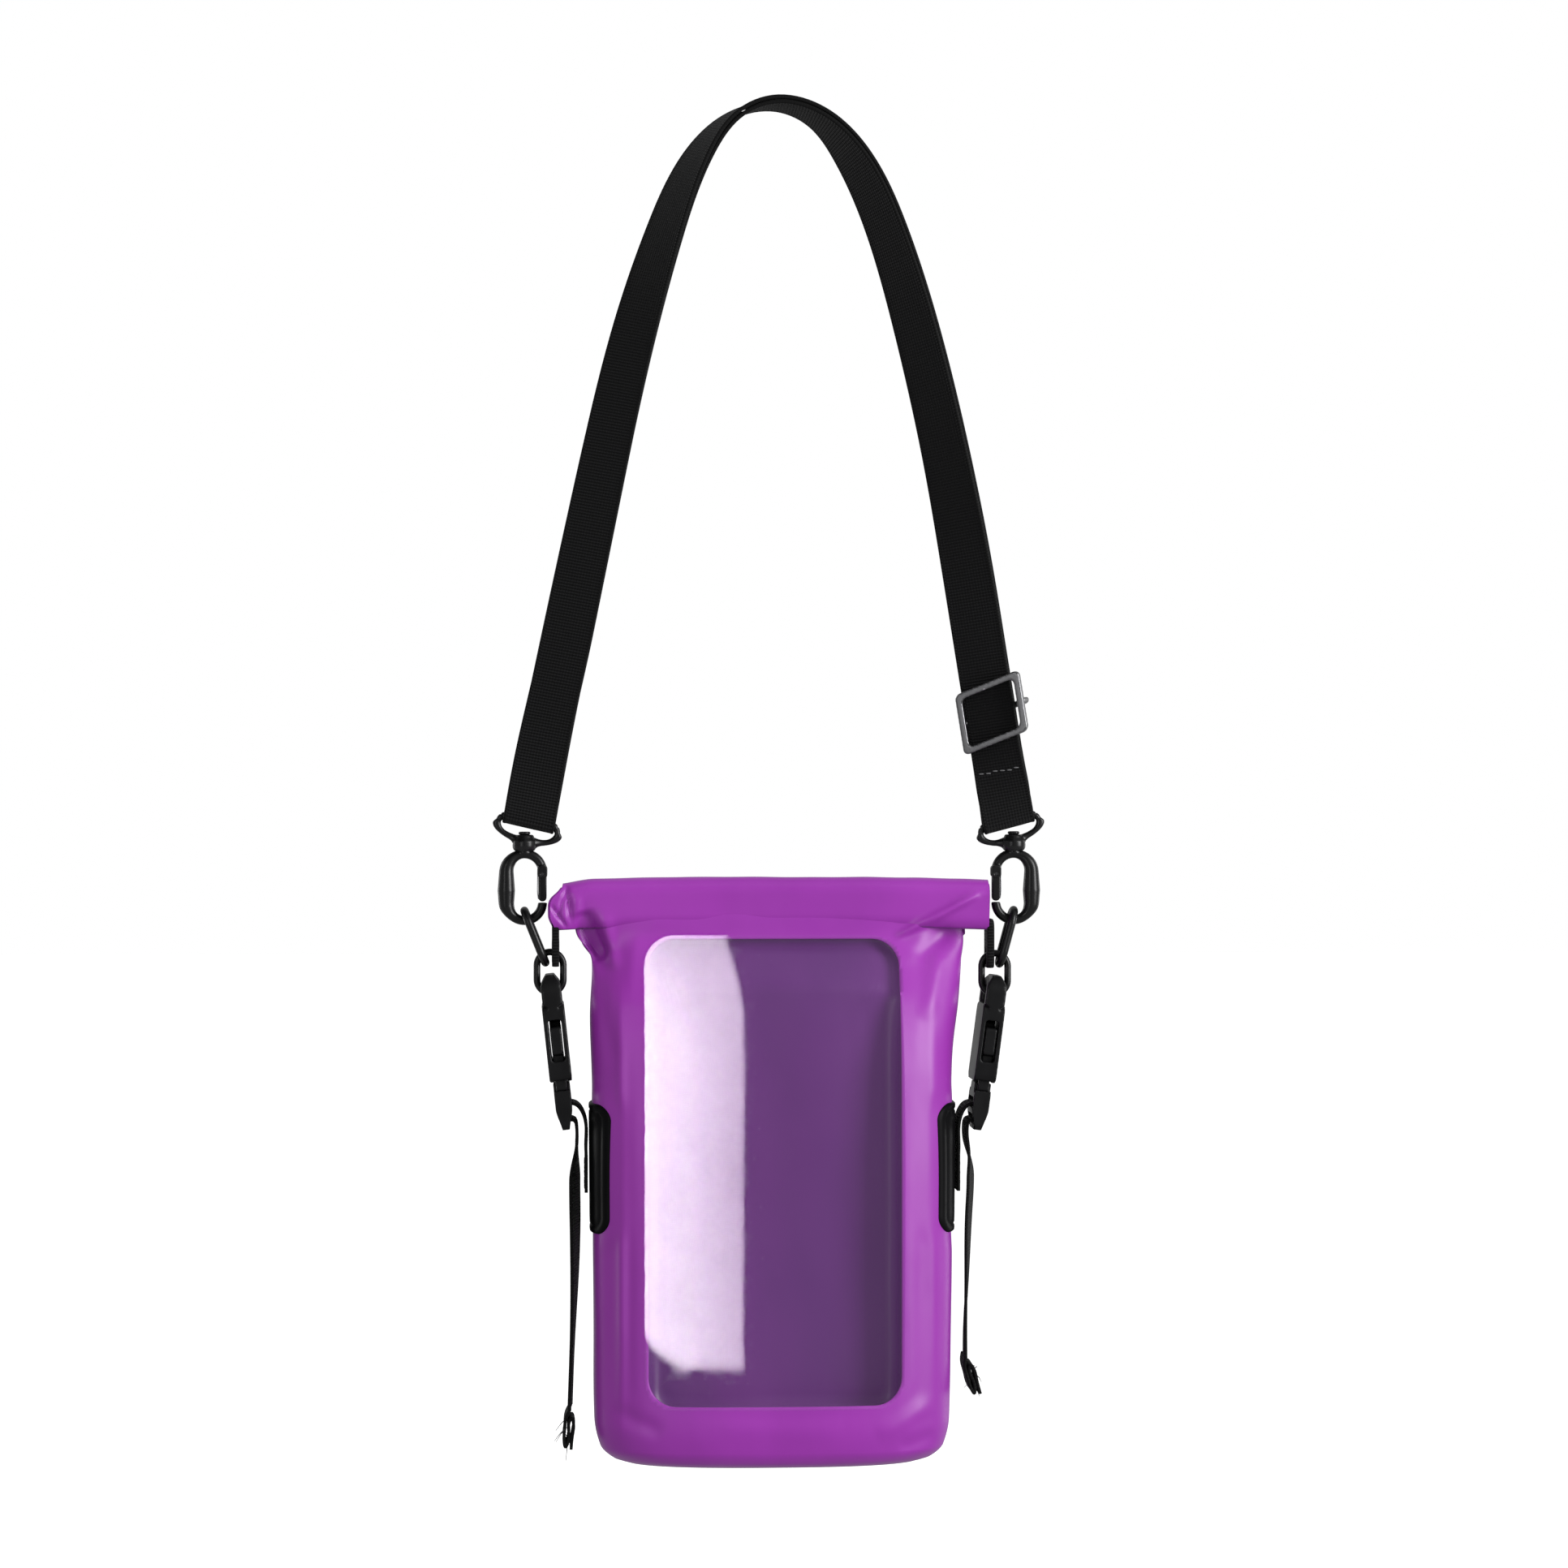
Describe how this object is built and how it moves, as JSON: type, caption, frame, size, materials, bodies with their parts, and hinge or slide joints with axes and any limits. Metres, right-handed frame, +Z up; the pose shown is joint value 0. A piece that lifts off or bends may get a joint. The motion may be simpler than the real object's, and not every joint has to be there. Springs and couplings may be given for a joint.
{
  "type": "roll-top dry bag",
  "caption": "Small roll-top dry bag with a clear front window, welded oval base, doubled carry strap on snap hooks and buckled roll-down straps.",
  "frame": {"origin": "inner surface of the carry strap at the top of its arch, where the bag hangs", "axes": "+Z up along the hanging bag, +X to the right seen from the front, the window faces -Y"},
  "size_m": [0.199, 0.0607, 0.4923],
  "materials": {
    "webbing": "matte ribbed webbing",
    "thread": "matte sewing thread",
    "gunmetal": "polished black nickel",
    "buckle_plastic": "satin moulded plastic",
    "coated_fabric": "smooth semi-gloss coated fabric",
    "patch_film": "satin welded film",
    "clear_film": "glossy clear film",
    "stiffener": "matte strip"
  },
  "bodies": {
    "strap": {"strap_outer_layer": "webbing", "strap_inner_layer": "webbing", "strap_turn_left": "webbing", "strap_turn_right": "webbing", "strap_stitching": "thread"},
    "slider": {"slider_frame": "gunmetal", "slider_bar": "gunmetal"},
    "eye_left": {"eye_left": "gunmetal"},
    "hook_left": {"snap_hook_left": "gunmetal", "gate_pin_left": "gunmetal", "gate_spring_left": "gunmetal"},
    "gate_left": {"gate_left": "gunmetal"},
    "upper_link_left": {"link_upper_left": "gunmetal"},
    "socket_left": {"buckle_socket_left": "buckle_plastic"},
    "plug_left": {"buckle_plug_left": "buckle_plastic", "strap_tail_left": "webbing", "tail_end_left": "webbing"},
    "arm_front_left": {"buckle_arm_front_left": "buckle_plastic"},
    "arm_back_left": {"buckle_arm_back_left": "buckle_plastic"},
    "eye_right": {"eye_right": "gunmetal"},
    "hook_right": {"snap_hook_right": "gunmetal", "gate_pin_right": "gunmetal", "gate_spring_right": "gunmetal"},
    "gate_right": {"gate_right": "gunmetal"},
    "upper_link_right": {"link_upper_right": "gunmetal"},
    "socket_right": {"buckle_socket_right": "buckle_plastic"},
    "plug_right": {"buckle_plug_right": "buckle_plastic", "strap_tail_right": "webbing", "tail_end_right": "webbing"},
    "arm_front_right": {"buckle_arm_front_right": "buckle_plastic"},
    "arm_back_right": {"buckle_arm_back_right": "buckle_plastic"},
    "bag": {"roll_top": "coated_fabric", "stiffener_front": "stiffener", "stiffener_back": "stiffener", "bag_shell": "coated_fabric", "base_panel": "coated_fabric", "window_pane": "clear_film", "phone_pocket": "coated_fabric", "link_lower_left": "gunmetal", "end_tab_left": "webbing", "side_patch_left": "patch_film", "strap_riser_left": "webbing", "link_lower_right": "gunmetal", "end_tab_right": "webbing", "side_patch_right": "patch_film", "strap_riser_right": "webbing"}
  },
  "joints": [
    {"name": "slider_slide", "type": "slide", "parent": "strap", "child": "slider", "axis": [-0.16, 0, 0.9871], "range_m": [0, 0.025]},
    {"name": "eye_swing_left", "type": "hinge", "parent": "strap", "child": "eye_left", "pos_m": [-0.0876, 0, -0.258], "axis": [1, 0, 0], "range_deg": [-12, 12]},
    {"name": "swivel_left", "type": "hinge", "parent": "eye_left", "child": "hook_left", "pos_m": [-0.08944, 0, -0.266], "axis": [0, 0, 1], "range_deg": [-15, 15]},
    {"name": "gate_left", "type": "hinge", "parent": "hook_left", "child": "gate_left", "pos_m": [-0.08295, 0, -0.2775], "axis": [0, 1, 0], "range_deg": [0, 22], "stiffness_Nm_per_rad": 0.005, "springref_deg": -11.46, "deforming": ["gate_spring_left"]},
    {"name": "link_swing_left", "type": "hinge", "parent": "eye_left", "child": "upper_link_left", "pos_m": [-0.08944, 0, -0.2925], "axis": [1, 0, 0], "range_deg": [-15, 15]},
    {"name": "eye_swing_right", "type": "hinge", "parent": "strap", "child": "eye_right", "pos_m": [0.0858, 0, -0.258], "axis": [1, 0, 0], "range_deg": [-12, 12]},
    {"name": "swivel_right", "type": "hinge", "parent": "eye_right", "child": "hook_right", "pos_m": [0.08792, 0, -0.266], "axis": [0, 0, 1], "range_deg": [-15, 15]},
    {"name": "gate_right", "type": "hinge", "parent": "hook_right", "child": "gate_right", "pos_m": [0.08142, 0, -0.2775], "axis": [0, -1, 0], "range_deg": [0, 22], "stiffness_Nm_per_rad": 0.005, "springref_deg": -11.46, "deforming": ["gate_spring_right"]},
    {"name": "link_swing_right", "type": "hinge", "parent": "eye_right", "child": "upper_link_right", "pos_m": [0.08792, 0, -0.2925], "axis": [1, 0, 0], "range_deg": [-15, 15]},
    {"name": "bag_swing", "type": "hinge", "parent": "upper_link_left", "child": "bag", "pos_m": [-0.08188, 0, -0.308], "axis": [1, 0, 0], "range_deg": [-10, 10]},
    {"name": "buckle_swing_left", "type": "hinge", "parent": "bag", "child": "socket_left", "pos_m": [-0.08018, 0, -0.32036], "axis": [0, 1, 0], "range_deg": [0, 8], "deforming": ["strap_riser_left"]},
    {"name": "buckle_release_left", "type": "slide", "parent": "socket_left", "child": "plug_left", "axis": [0.108, 0, -0.9942], "range_m": [0, 0.016], "deforming": ["strap_riser_left", "buckle_arm_front_left", "buckle_arm_back_left"]},
    {"name": "arm_squeeze_front_left", "type": "hinge", "parent": "plug_left", "child": "arm_front_left", "pos_m": [-0.076, -0.0083, -0.35419], "axis": [-0.9942, 0, -0.108], "range_deg": [0, 6], "stiffness_Nm_per_rad": 0.02, "springref_deg": -5.73},
    {"name": "arm_squeeze_back_left", "type": "hinge", "parent": "plug_left", "child": "arm_back_left", "pos_m": [-0.076, 0.0083, -0.35419], "axis": [0.9942, 0, 0.108], "range_deg": [0, 6], "stiffness_Nm_per_rad": 0.02, "springref_deg": -5.73},
    {"name": "buckle_swing_right", "type": "hinge", "parent": "bag", "child": "socket_right", "pos_m": [0.08099, 0, -0.32115], "axis": [0, -1, 0], "range_deg": [0, 8], "deforming": ["strap_riser_right"]},
    {"name": "buckle_release_right", "type": "slide", "parent": "socket_right", "child": "plug_right", "axis": [-0.1305, 0, -0.9914], "range_m": [0, 0.016], "deforming": ["strap_riser_right", "buckle_arm_front_right", "buckle_arm_back_right"]},
    {"name": "arm_squeeze_front_right", "type": "hinge", "parent": "plug_right", "child": "arm_front_right", "pos_m": [0.07594, -0.0083, -0.35487], "axis": [-0.9914, 0, 0.1305], "range_deg": [0, 6], "stiffness_Nm_per_rad": 0.02, "springref_deg": -5.73},
    {"name": "arm_squeeze_back_right", "type": "hinge", "parent": "plug_right", "child": "arm_back_right", "pos_m": [0.07594, 0.0083, -0.35487], "axis": [0.9914, 0, -0.1305], "range_deg": [0, 6], "stiffness_Nm_per_rad": 0.02, "springref_deg": -5.73}
  ],
  "couplings": [
    {"joint": "arm_squeeze_back_left", "follows": "arm_squeeze_front_left", "ratio": 1},
    {"joint": "arm_squeeze_back_right", "follows": "arm_squeeze_front_right", "ratio": 1},
    {"joint": "eye_swing_right", "follows": "eye_swing_left", "ratio": 1},
    {"joint": "link_swing_right", "follows": "link_swing_left", "ratio": 1}
  ]
}
